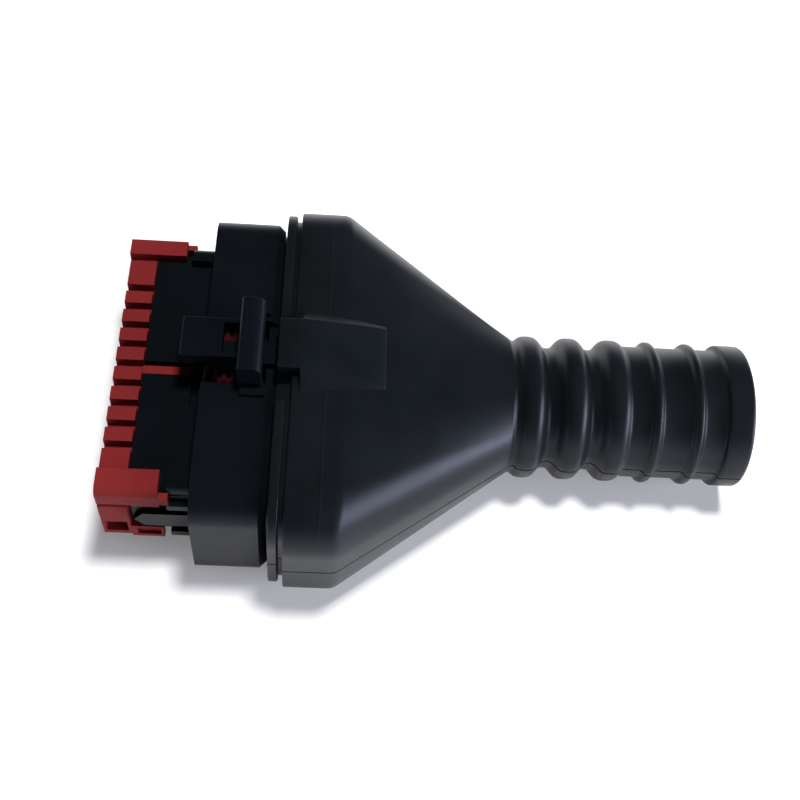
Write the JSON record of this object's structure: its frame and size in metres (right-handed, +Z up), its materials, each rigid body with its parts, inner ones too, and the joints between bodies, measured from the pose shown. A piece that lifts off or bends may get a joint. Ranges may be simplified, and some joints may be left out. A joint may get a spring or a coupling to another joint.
{
  "type": "sealed automotive connector",
  "caption": "Rectangular sealed multi-way plug with a front secondary lock, a press latch, a ribbed mating seal and a tapered rubber boot that ends in a ribbed cable sleeve.",
  "frame": {"origin": "centre of the front rim of the plug's shroud, in the plane where the mating half's wall enters", "axes": "+X along the mating axis from the mating face towards the cable end, +Z up to the latch side, +Y across the width"},
  "size_m": [0.1138, 0.0688, 0.0348],
  "materials": {
    "black_plastic": "fine moulded, satin",
    "black_plastic_latch": "fine moulded, satin",
    "red_plastic": "fine moulded, satin",
    "red_rubber": "soft silicone",
    "boot_rubber": "matte moulded rubber",
    "contact_metal": "bright stamped"
  },
  "bodies": {
    "housing": {"plug_housing": "black_plastic", "mating_seal": "red_rubber", "wire_seal": "red_rubber", "rear_cover": "black_plastic", "boot": "boot_rubber", "contact_a01": "contact_metal", "contact_a02": "contact_metal", "contact_a03": "contact_metal", "contact_a04": "contact_metal", "contact_a05": "contact_metal", "contact_a06": "contact_metal", "contact_a07": "contact_metal", "contact_a08": "contact_metal", "contact_a09": "contact_metal", "contact_a10": "contact_metal", "contact_a11": "contact_metal", "contact_a12": "contact_metal", "contact_b01": "contact_metal", "contact_b02": "contact_metal", "contact_b03": "contact_metal", "contact_b04": "contact_metal", "contact_b05": "contact_metal", "contact_b06": "contact_metal", "contact_b07": "contact_metal", "contact_b08": "contact_metal", "contact_b09": "contact_metal", "contact_b10": "contact_metal", "contact_b11": "contact_metal", "contact_c01": "contact_metal", "contact_c02": "contact_metal", "contact_c03": "contact_metal", "contact_c04": "contact_metal", "contact_c05": "contact_metal", "contact_c06": "contact_metal", "contact_c07": "contact_metal", "contact_c08": "contact_metal", "contact_c09": "contact_metal", "contact_c10": "contact_metal", "contact_c11": "contact_metal", "contact_c12": "contact_metal"},
    "latch": {"latch_lever": "black_plastic_latch"},
    "lock": {"wedge_lock": "red_plastic"}
  },
  "joints": [
    {"name": "latch_press", "type": "hinge", "parent": "housing", "child": "latch", "pos_m": [0.0016, 0, 0.0143], "axis": [0, 1, 0], "range_deg": [0, 7], "stiffness_Nm_per_rad": 0.6},
    {"name": "lock_slide", "type": "slide", "parent": "housing", "child": "lock", "axis": [-1, 0, 0], "range_m": [0, 0.0025]}
  ]
}
